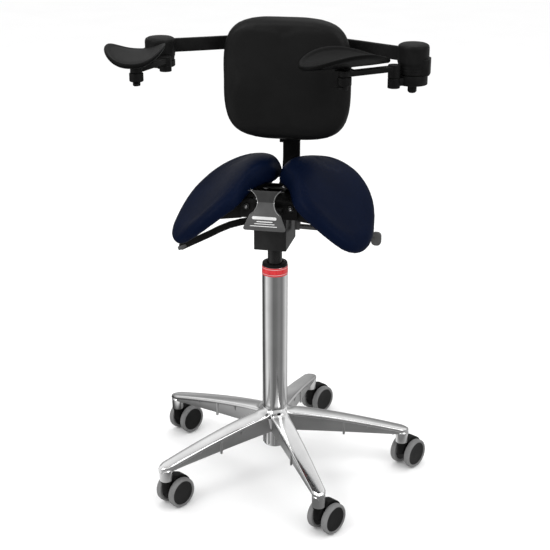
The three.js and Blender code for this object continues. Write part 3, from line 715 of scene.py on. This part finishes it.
def plate_point(x, v, out=0.0):
    """A point on the front plate's lower half, v up from its waist, out proud of its face."""
    y = WAIST[0] - (4 + out) * math.cos(LEAN) + v * math.sin(LEAN)
    z = WAIST[1] + (4 + out) * math.sin(LEAN) + v * math.cos(LEAN)
    return (x, y, z)


def printed_bar(x0, x1, v0, v1):
    """A plain bar standing in for a line of print on the plate."""
    ring = rounded(x0, x1, v0, v1, (v1 - v0) * 0.45, 3)
    low = [plate_point(x, v, -0.1) for x, v in ring]
    high = [plate_point(x, v, 0.12) for x, v in ring]
    return loft([np.array(low), np.array(high)])


def bolt(x, y, z, r=4.4):
    """A socket screw's head facing the front."""
    head = softened([(0, 0), (r, 0), (r, 3.2), (r - 0.5, 3.8), (2.2, 3.8), (2.2, 1.8), (0, 1.8)], 0.4)
    v, f = lathe(head, 24)
    return np.stack([v[:, 0] + x, y - v[:, 2], v[:, 1] + z], 1), f


def mechanism():
    refined("column_socket", BLOCK_BLACK, 1.3, segments=3)
    refined("tilt_frame", BLACK_METAL, 0.8)
    cover = refined("front_plate", GREY_METAL, 0.7)
    # Faces above the plate's bend take the darker grey: painted shade under the seat halves, not a second finish.
    cover.data.materials.append(PLATE_PAINTED_SHADE)
    for face in cover.data.polygons:
        if face.center.z > FLOOR / 1000 + 0.5965:
            face.material_index = 1
    bars = [
        printed_bar(-24, 22, -32.6, -27.0), printed_bar(-15, 15, -37.4, -35.4),
        printed_bar(-19, 19, -41.2, -39.8), printed_bar(-27, 24, -45.4, -44.0),
    ]
    build("plate_marks", bars, PRINT, "frame", "")
    rims = []
    for side in (1, -1):
        for a0, a1, low in ((122, 180, False), (180, 238, True)):
            pts = []
            for t in np.radians(np.linspace(a0, a1, 14)):
                x, v = 43.0 + 27.7 * math.cos(t), 27.7 * math.sin(t)
                if low:
                    pts.append((side * x, *plate_point(0, v, -2.0)[1:]))
                else:
                    pts.append((side * x, -75.8 - 0.05 * v, WAIST[1] + v))
            rims.append(sweep(rounded(-1.0, 1.0, -2.6, 2.6, 0.7, 2), pts, (0, 1, 0.15), 0.4))
    build("plate_rims", rims, BRIGHT_EDGE, "frame", "steel")
    heads = [bolt(x, -56, 579, 6) for x in (SWING_PIN, -SWING_PIN)]
    build("pin_heads", heads, BLACK_GLOSS, "frame", "black_metal")
    studs = [bolt(x, -58.2, 579, 2.9) for x in (SWING_PIN, -SWING_PIN)]
    build("pin_studs", studs, STEEL, "frame", "steel")
    end = [(-167, -34.6, 487.2), (-174, -36.2, 483.4), (-182, -38, 479.2)]
    tip = sweep(rounded(-7.2, 7.2, -4.3, 4.3, 3, 4), end, (0, 0, 1), 1.6)
    build("lever_tip", [tip], PADDLE, "lift_lever", "black_metal")
    refined("width_screw", STEEL, 0.4)
    refined("lift_lever", BLACK_METAL, 1.2, 50)
    refined("tilt_lever", PADDLE, 1.4, 50)


# ---------- seat ----------

CENTRE = np.array([95.0, 15.0])
SEAT_POINTS = [
    (7.5, 104), (3.5, 58), (4.5, 16), (33, -34), (56, -84), (99, -106), (150, -104),
    (188, -57), (191, 0), (175, 67), (137, 123), (78, 156), (26, 146),
]
ROLL = 20.5  # radius of the cushion's rolled edge
CLOTH_FRAMES = 20


def seat_top(x, y):
    u, v = x / 100, y / 100
    across = 70 * u - 140 * u**2 + 43 * u**3
    lift = 34 * np.maximum(0, -v - 0.6) ** 2
    return 636 + across + 11 * v - 26 * v**2 + 3 * u * v + 8 * u * u * v + 19 * u * v * v + lift


def away(points, ring):
    """Distance from each point to a closed ring of points."""
    a, b = ring, np.roll(ring, -1, 0)
    d = b - a
    out = np.full(len(points), 1e9)
    for p, q in zip(a, d):
        t = np.clip(((points - p) @ q) / (q @ q), 0, 1)
        out = np.minimum(out, np.linalg.norm(points - p - t[:, None] * q, axis=1))
    return out


def seat_shell(shrink=0.0):
    rim = catmull(SEAT_POINTS, 144, closed=True)
    edge = np.roll(rim, -1, 0) - np.roll(rim, 1, 0)
    out = np.column_stack([edge[:, 1], -edge[:, 0]]) / np.linalg.norm(edge, axis=1)[:, None]
    inner = smoothstep(0.2, 0.85, out @ np.array([-0.93, -0.37]))
    shares = list(1 - (1 - np.linspace(0, 1, 30)) ** 1.8)[1:]
    rings_up, rings_down = [], []
    for s in shares:
        p = CENTRE + (rim - CENTRE) * s
        d = away(p, rim) if s < 1 else np.zeros(len(p))
        top = seat_top(p[:, 0], p[:, 1])
        above, below = ROLL + 7.5 * inner, ROLL - 3 - 6.5 * inner
        wide, narrow = ROLL + 4 * inner, ROLL - 10 * inner
        t = np.clip(1 - d / wide, 0, 1)
        u = np.clip(1 - d / narrow, 0, 1)
        up = above * (1 - t ** (2.0 + 0.5 * inner)) ** (1 / 2.1)
        down = below * (1 - u**2.2) ** (1 / 2.2)
        rim_height = top - above
        crown = 1.6 * smoothstep(10, 60, d)
        cup = (6.2 - 1.5 * inner) * smoothstep(9, 22, d)
        rings_up.append(np.column_stack([p, rim_height + up + crown - shrink]))
        rings_down.append(np.column_stack([p, rim_height - down + cup + shrink]))
    top = (*CENTRE, rings_up[0][:, 2].mean() + 0.05)
    return pillow(top, rings_up, rings_down, (*CENTRE, rings_down[0][:, 2].mean()))


def puffed(name, shell, voxel, cap, pressure, hold):
    """A cloth pass over a closed shell: remeshed, blown up a little and cut back to cap mm of travel.
    hold(points in mm) is 1 where the cover may move and 0 where it is fixed."""
    mesh = bpy.data.meshes.new(name)
    mesh.from_pydata(place(shell[0]).tolist(), [], shell[1])
    bm = bmesh.new()
    bm.from_mesh(mesh)
    outward(bm)
    bm.to_mesh(mesh)
    bm.free()
    obj = bpy.data.objects.new(name, mesh)
    bpy.context.scene.collection.objects.link(obj)
    mod = obj.modifiers.new("even", "REMESH")
    mod.mode = "VOXEL"
    mod.voxel_size = voxel / 1000.0
    mod.adaptivity = 0
    bpy.context.view_layer.update()
    even = applied(obj)
    obj.modifiers.clear()
    obj.data = even
    bm = bmesh.new()
    bm.from_mesh(even)
    for _ in range(2):
        bmesh.ops.smooth_vert(
            bm, verts=bm.verts, factor=0.5, use_axis_x=True, use_axis_y=True, use_axis_z=True,
        )
    bm.to_mesh(even)
    bm.free()
    start = corners_of(even)
    cloth = obj.modifiers.new("cover", "CLOTH")
    s = cloth.settings
    s.quality = 5
    s.mass = 0.35
    s.tension_stiffness = s.compression_stiffness = 18
    s.shear_stiffness = 6
    s.bending_stiffness = 0.6
    s.use_pressure = True
    s.uniform_pressure_force = pressure
    s.effector_weights.gravity = 0
    cloth.point_cache.frame_start = 1
    cloth.point_cache.frame_end = CLOTH_FRAMES
    scene = bpy.context.scene
    for f in range(1, CLOTH_FRAMES + 1):
        scene.frame_set(f)
    end = corners_of(applied(obj))
    obj.modifiers.clear()
    scene.frame_set(1)
    step = np.nan_to_num(end - start)
    size = np.linalg.norm(step, axis=1)[:, None] * 1000
    keep = np.minimum(1, cap / np.maximum(size, 1e-6))
    rows = start * 1000
    rows[:, 2] -= FLOOR
    allow = hold(rows)[:, None]
    even.vertices.foreach_set("co", (start + step * keep * allow).ravel())
    even.update()
    sub = obj.modifiers.new("fine", "SUBSURF")
    sub.levels = sub.render_levels = 1
    bpy.context.view_layer.update()
    fine = applied(obj)
    obj.modifiers.clear()
    obj.data = fine
    return obj


def mirrored(obj, name):
    """A copy of an object on the other side of the stool's middle."""
    mesh = obj.data.copy()
    mesh.name = name
    co = corners_of(mesh)
    co[:, 0] *= -1
    mesh.vertices.foreach_set("co", co.ravel())
    mesh.flip_normals()
    twin = bpy.data.objects.new(name, mesh)
    bpy.context.scene.collection.objects.link(twin)
    return twin


def leant(obj, outer, nose):
    """Raises a seat half's outer side, falling off to its hinge, and its nose, in mm at their ends."""
    co = corners_of(obj.data)
    x, y, z = np.abs(co[:, 0]) * 1000, co[:, 1] * 1000, co[:, 2] * 1000 - FLOOR
    shift = outer * (x - SWING_PIN) / 150 + nose * np.clip((-y - 20) / 86, 0, 1) ** 2
    shift = np.where(shift < 0, shift * smoothstep(-30, -12, z - seat_top(x, y)), shift)
    co[:, 2] += shift / 1000
    obj.data.vertices.foreach_set("co", co.ravel())
    obj.data.update()


def seats():
    def hold(p):
        top = seat_top(p[:, 0], p[:, 1])
        return smoothstep(-34, -18, p[:, 2] - top)

    right = puffed("seat_leather_right", seat_shell(0.5), 4.0, 1.1, 3.0, hold)
    left = mirrored(right, "seat_leather_left")
    leant(right, 4.5, 4.0)
    leant(left, -5.0, 0.0)
    finished(right, [NAVY], "seat_right", ["seat_cushion_right"], 80)
    finished(left, [NAVY], "seat_left", ["seat_cushion_left"], 80)
    under = under_shell()
    for side, body in ((1, "right"), (-1, "left")):
        v, f = under
        shell = (v * np.array([side, 1, 1]), f)
        build(f"seat_tray_{body}", [shell], BLACK_PLASTIC, f"seat_{body}", "black_plastic", [], 50)
        refined(f"seat_pan_{body}", BLACK_METAL, 0.9)


def under_shell():
    """The black tray that closes the cushion's underside, deeper along the gap."""
    rim = catmull(SEAT_POINTS, 96, closed=True)
    gap_side = smoothstep(20, -60, rim[:, 0] - CENTRE[0])
    share = 0.66 + 0.22 * gap_side
    out = rim - CENTRE
    rings = []
    lid = ((0.05, 28), (0.5, 28), (0.9, 28), (0.985, 28.5), (1.0, 30))
    base = ((1.0, 0), (0.985, 1), (0.9, 1), (0.5, 1), (0.05, 1))
    for scale, drop in lid + base:
        p = CENTRE + out * (share * scale)[:, None]
        top = seat_top(p[:, 0], p[:, 1])
        if drop < 10:
            drop = 38.2 + 5.8 * gap_side + drop * 1.2
        rings.append(np.column_stack([p, top - drop]))
    return loft(rings)


# ---------- backrest ----------


def back_shell(shrink=0.0):
    """A rounded square, fullest in the middle of its front, its back flatter."""
    hx, hz, cy, cz = 125.0 - shrink, 118.0 - shrink, 106.5, 787.0
    rim = oval(hx, hz, 3.9, 160)
    shares = list(1 - (1 - np.linspace(0, 1, 24)) ** 1.8)[1:]
    front, back = [], []
    for k in shares:
        p = rim * k
        d = away(p, rim) if k < 1 else np.zeros(len(rim))
        roll = bulge(d, 17.0)
        crown = 4.4 * (1 - k**2)
        front.append(np.column_stack([p[:, 0], cy - roll - crown + shrink * 0.5, cz + p[:, 1]]))
        back.append(np.column_stack([p[:, 0], cy + roll * 1.18 + 1.0 * (1 - k**2), cz + p[:, 1]]))
    return pillow((0, front[0][:, 1].min(), cz), front, back, (0, back[0][:, 1].max(), cz))


def backrest():
    def hold(p):
        return smoothstep(127, 116, p[:, 1])

    cover = puffed("back_leather", back_shell(0.3), 4.5, 0.9, 2.0, hold)
    finished(cover, [BLACK_LEATHER], "backrest", ["back_cushion"], 80)
    refined("back_plate", BLACK_PLASTIC, 1.4, segments=3)
    post = catmull([
        (0, 84.5, 572), (0, 115, 573), (0, 142, 584), (0, 155, 612), (0, 157, 645), (0, 157, 700),
        (0, 157, 800),
    ], 70)
    strip = sweep(rounded(-17, 17, -5, 5, 1.6, 3), post, (0, -1, 0.02), 0.8)
    build("back_upright", [strip], BLACK_METAL, "frame", "black_metal", ["back_post"])
    refined("back_carriage", BLACK_METAL, 1.2, segments=3)
    around = np.linspace(0, 2 * math.pi, 112, endpoint=False)
    grip = [(9 + 7 * abs(math.cos(3.5 * t)) ** 0.35, t) for t in around]
    ring = [(r * math.cos(t), r * math.sin(t)) for r, t in grip]
    knob = upright(slab(ring, 175, 190.6, 2.2, 4))
    knob = (knob[0] + np.array([0, 0, 690]), knob[1])
    shank = upright(slab(rounded(-3.2, 3.2, -3.2, 3.2, 3.1, 4), 165.4, 177, 0.3))
    shank = (shank[0] + np.array([0, 0, 690]), shank[1])
    build("back_grip", [knob, shank], RUBBER, "back_knob", "rubber", ["back_knob"])


# ---------- arms ----------


def arms():
    right = [(40, 176), (78, 168), (120, 150), (175, 118), (236, 83.5)]
    left = [(-x, y) for x, y in reversed(right)]
    path = [(x, y, 846.5) for x, y in (*left, (0, 176.4), *right)]
    bar = sweep(rounded(-4, 4, -13, 13, 1.8, 4), catmull(path, 120), (0, 0, 1), 0.8)
    build("arm_rail", [bar], BLACK_METAL, "back_carriage", "black_metal", ["arm_bar"])
    for label, e in ELBOWS.items():
        arm(label, e)


def arm(label, e):
    """One elbow rest from its housing on the rail out to its pad."""
    side = 1 if label == "right" else -1
    at, split, low, cap = e["at"], e["split"], e["bottom"], e["cap"]
    lid = softened([
        (0, split), (26.6, split), (27.2, 829), (29.2, 834), (29.3, cap - 9), (28, cap - 4.4),
        (22, cap - 1.2), (0, cap),
    ], 2.4, 5)
    shoulder = brick(0, 32, -20, 20, split, 842, 8, 1.5)
    ring = [(26, split + 8), (28.2, split + 8), (28.2, split + 11), (26, split + 11)]
    shells = [lathe(lid, 72), shoulder, lathe(softened(ring, 0.4), 64)]
    shells = [(v * np.array([side, 1, 1]), f) for v, f in shells]
    shells = [moved(s, by=(at[0], at[1], 0)) for s in shells]
    stands = [f"elbow_housing_{label}"]
    build(f"elbow_shell_{label}", shells, BLACK_PLASTIC, "back_carriage", "black_plastic", stands)

    wrist_top = split - 3.4
    block = lathe(softened([
        (0, low), (26.8, low), (28, low + 1.2), (28, split - 0.8), (27.4, split - 0.4), (0, split - 0.4),
    ], 0.9), 72)
    bridge = brick(0, 42, -9, 9, low + 1, wrist_top - 0.6, 2, 1.2)
    barrel = softened([(0, low - 3), (11.5, low - 3), (11.5, wrist_top), (0, wrist_top)], 1.0)
    barrel = lathe(barrel, 40, (42, 0))
    pin = [(0, wrist_top - 1), (4, wrist_top - 1), (4, wrist_top + 13), (0, wrist_top + 13)]
    pin = lathe(pin, 20, (42, 0))
    shells = [moved(s, spin=e["link"], by=(at[0], at[1], 0)) for s in (block, bridge, barrel, pin)]
    body = f"elbow_link_{label}"
    build(f"elbow_lower_{label}", shells, BLACK_PLASTIC, body, "black_plastic", [body])

    foot = low - e["knob"]
    tip = softened([
        (0, foot), (5.4, foot), (8.5, foot + 3.2), (8.5, low - 1.9), (7.4, low - 0.4), (0, low - 0.4),
    ], 1.4, 4)
    body = f"elbow_knob_{label}"
    build(f"elbow_screw_{label}", [lathe(tip, 40, at)], BLACK_PLASTIC, body, "black_plastic", [body])

    wrist = ahead(at, e["link"], 42)
    upper = lathe(softened([(0, split - 3), (11.5, split - 3), (11.5, 833), (0, 833)], 1.2), 40)
    reach = brick(0, 108, -8, 8, 821, 831, 2, 1.4)
    eye = lathe(softened([(0, 821), (11, 821), (11, 831), (0, 831)], 1.0), 40, (108, 0))
    shells = [moved(s, spin=e["reach"], by=(wrist[0], wrist[1], 0)) for s in (upper, reach, eye)]
    body = f"forearm_{label}"
    build(f"forearm_bar_{label}", shells, BLACK_METAL, body, "black_metal", [body])

    hand = ahead(wrist, e["reach"], 108)
    rise = e["rise"]
    disc = lathe(softened([(0, 831.4), (18, 831.4), (18, 833.5 + rise), (0, 833.5 + rise)], 0.6), 56)
    ear = upright(slab(rounded(-3.3, 3.3, -3.3, 3.3, 3.2, 5), -20, 20, 0.6))
    ear = (ear[0] + np.array([0, 0, 835.1 + rise]), ear[1])
    clamp = lathe(softened([(0, 805), (12, 805), (13, 806.4), (13, 820.6), (0, 820.6)], 1.2), 48)
    shells = [moved(s, spin=e["pad"], by=(hand[0], hand[1], 0)) for s in (disc, ear, clamp)]
    body, stands = f"pad_swivel_{label}", [f"pad_bracket_{label}"]
    build(f"pad_mount_{label}", shells, BLACK_METAL, body, "black_metal", stands)
    grip = lathe(softened([(0, 797), (6.4, 797), (7, 798), (7, 804.6), (0, 804.6)], 0.8), 40)
    wing = brick(-4, 18, -4, 4, 799, 803.6, 3.5, 1.2)
    shells = [moved(s, spin=e["pad"], by=(hand[0], hand[1], 0)) for s in (grip, wing)]
    body = f"pad_knob_{label}"
    build(f"pad_screw_{label}", shells, BLACK_PLASTIC, body, "black_plastic", [body])
    pad(label, e, hand)


def pad(label, e, hand):
    """An elbow pad: an oval trough with a padded bead along its rim."""
    rim = oval(92, 54, e["square"], 120)
    rise, slope = e["rise"], math.tan(math.radians(e["tilt"]))
    shares = list(1 - (1 - np.linspace(0, 1, 22)) ** 1.7)[1:]
    up, down = [], []
    for k in shares:
        p = rim * k
        d = away(p, rim) if k < 1 else np.zeros(len(rim))
        middle = 843.8 + rise + p[:, 0] * slope + 22 * np.abs(p[:, 1] / 54) ** 2.3
        roll = bulge(d, 4.0)
        fill = 1.0 * smoothstep(6, 30, d)
        bead = 0.7 * np.exp(-(((d - 5.0) / 2.6) ** 2)) - 0.55 * np.exp(-(((d - 9.5) / 1.5) ** 2))
        up.append(np.column_stack([p, middle + roll + fill + bead]))
        down.append(np.column_stack([p, middle - roll - fill]))
    cushion = pillow((0, 0, 848.8 + rise), up, down, (0, 0, 838.8 + rise))
    shell = moved(cushion, spin=e["pad"], by=(hand[0], hand[1], 0))
    body, stands = f"pad_{label}", [f"arm_pad_{label}"]
    build(f"elbow_pad_{label}", [shell], PAD_LEATHER, body, "black_leather", stands, 80)


star()
for number in range(1, 6):
    caster(number)
column()
mechanism()
seats()
backrest()
arms()


# ---------- studio ----------


AROUND = [  # what polished metal sees, by direction round the stool, starting opposite the camera
    (0.0, 0.42), (0.10, 0.20), (0.15, 0.04), (0.20, 0.10), (0.28, 0.85), (0.33, 0.62), (0.40, 0.34),
    (0.46, 0.15), (0.53, 0.16), (0.60, 0.22), (0.68, 0.18), (0.76, 0.50), (0.80, 0.72), (0.90, 0.50),
    (0.95, 0.2), (1.0, 0.42),
]


def bearing(node, link, vector):
    """0 to 1 round the stool from the side opposite the camera."""
    way = node("ShaderNodeSeparateXYZ")
    link(vector, way.inputs[0])
    angle = node("ShaderNodeMath", operation="ARCTAN2")
    link(way.outputs["Y"], angle.inputs[0])
    link(way.outputs["X"], angle.inputs[1])
    share = node("ShaderNodeMath", operation="MULTIPLY_ADD")
    share.inputs[1].default_value = 1 / (2 * math.pi)
    share.inputs[2].default_value = 77.7 / 360 + 0.5
    link(angle.outputs[0], share.inputs[0])
    wrap = node("ShaderNodeMath", operation="FRACT")
    link(share.outputs[0], wrap.inputs[0])
    return wrap.outputs[0], way


def studio():
    scene = bpy.context.scene
    ground = bpy.data.meshes.new("ground")
    z = FLOOR / 1000 - 0.0004
    ground.from_pydata([(-14, -14, z), (14, -14, z), (14, 14, z), (-14, 14, z)], [], [(0, 1, 2, 3)])
    floor = bpy.data.objects.new("ground", ground)
    scene.collection.objects.link(floor)

    def paper(node, link, bsdf, where):
        tone = noise(node, link, where, 3.0)
        link(ramp(node, link, tone, [(0.3, grey(0.93)), (0.7, grey(0.945))]), bsdf.inputs["Base Color"])
        bsdf.inputs["Roughness"].default_value = 0.8
        bsdf.inputs["Specular IOR Level"].default_value = 0.1
        # For glossy rays the floor glows with the AROUND ramp: painted reflections for the polished metal, the
        # floor being no lamp.
        share, _ = bearing(node, link, where)
        glow_seen_in_reflections = node("ShaderNodeEmission", Strength=1.0)
        link(ramp(node, link, share, [(p, grey(v)) for p, v in AROUND]), glow_seen_in_reflections.inputs["Color"])
        path = node("ShaderNodeLightPath")
        pick = node("ShaderNodeMixShader")
        link(path.outputs["Is Glossy Ray"], pick.inputs["Fac"])
        link(bsdf.outputs[0], pick.inputs[1])
        link(glow_seen_in_reflections.outputs[0], pick.inputs[2])
        sheet = next(n for n in bsdf.id_data.nodes if n.type == "OUTPUT_MATERIAL")
        link(pick.outputs[0], sheet.inputs["Surface"])

    ground.materials.append(material("paper", paper))

    world = bpy.data.worlds.new("studio")
    world.use_nodes = True
    scene.world = world
    nodes, link = world.node_tree.nodes, world.node_tree.links.new
    nodes.clear()

    def node(kind, **values):
        n = nodes.new(kind)
        for k, v in values.items():
            if k in n.inputs:
                n.inputs[k].default_value = v
            else:
                setattr(n, k, v)
        return n

    share, way = bearing(node, link, node("ShaderNodeTexCoord").outputs["Generated"])
    level = ramp(node, link, share, [(p, grey(v)) for p, v in AROUND])
    height = ramp(node, link, way.outputs["Z"], [
        (0.0, grey(0.35)), (0.12, grey(0.75)), (0.24, grey(0.16)), (0.40, grey(0.40)),
        (0.58, grey(0.95)), (1.0, grey(0.5)),
    ])
    tilt = ramp(node, link, way.outputs["Z"], [(0.05, grey(0.0)), (0.4, grey(1.0))])
    mix = node("ShaderNodeMix", data_type="RGBA")
    link(tilt, mix.inputs["Factor"])
    link(level, mix.inputs[6])
    link(height, mix.inputs[7])
    shiny = node("ShaderNodeBackground", Strength=1.0)
    link(mix.outputs[2], shiny.inputs["Color"])
    plain_sky = node("ShaderNodeBackground", Strength=1.06)
    plain_sky.inputs["Color"].default_value = (1, 1, 1, 1)
    path = node("ShaderNodeLightPath")
    pick = node("ShaderNodeMixShader")
    link(path.outputs["Is Glossy Ray"], pick.inputs["Fac"])
    link(plain_sky.outputs[0], pick.inputs[1])
    link(shiny.outputs[0], pick.inputs[2])
    link(pick.outputs[0], node("ShaderNodeOutputWorld").inputs["Surface"])

    def lamp(name, at, aim, size, power):
        data = bpy.data.lights.new(name, "AREA")
        data.size, data.energy = size, power
        obj = bpy.data.objects.new(name, data)
        scene.collection.objects.link(obj)
        obj.location = at
        d = np.array(aim, float) - np.array(at, float)
        obj.rotation_euler = (
            math.atan2(math.hypot(d[0], d[1]), -d[2]), 0, math.atan2(d[1], d[0]) - math.pi / 2,
        )

    lamp("key_light", (-1.5, -1.7, 2.5), (0, 0, 0.4), 1.1, 26)
    lamp("fill_light", (2.0, -1.0, 1.7), (0, 0, 0.4), 1.4, 12)
    lamp("top_light", (0.2, 0.5, 2.9), (0, 0, 0.3), 1.6, 18)

    eye = bpy.data.cameras.new("view")
    eye.lens, eye.sensor_width = 76.18, 36
    camera = bpy.data.objects.new("view", eye)
    scene.collection.objects.link(camera)
    camera.location = (0.4510, -2.0679, 1.1623)
    camera.rotation_euler = (math.radians(69.355), 0, math.radians(12.3))
    scene.camera = camera
    scene.view_settings.view_transform = "Standard"


studio()
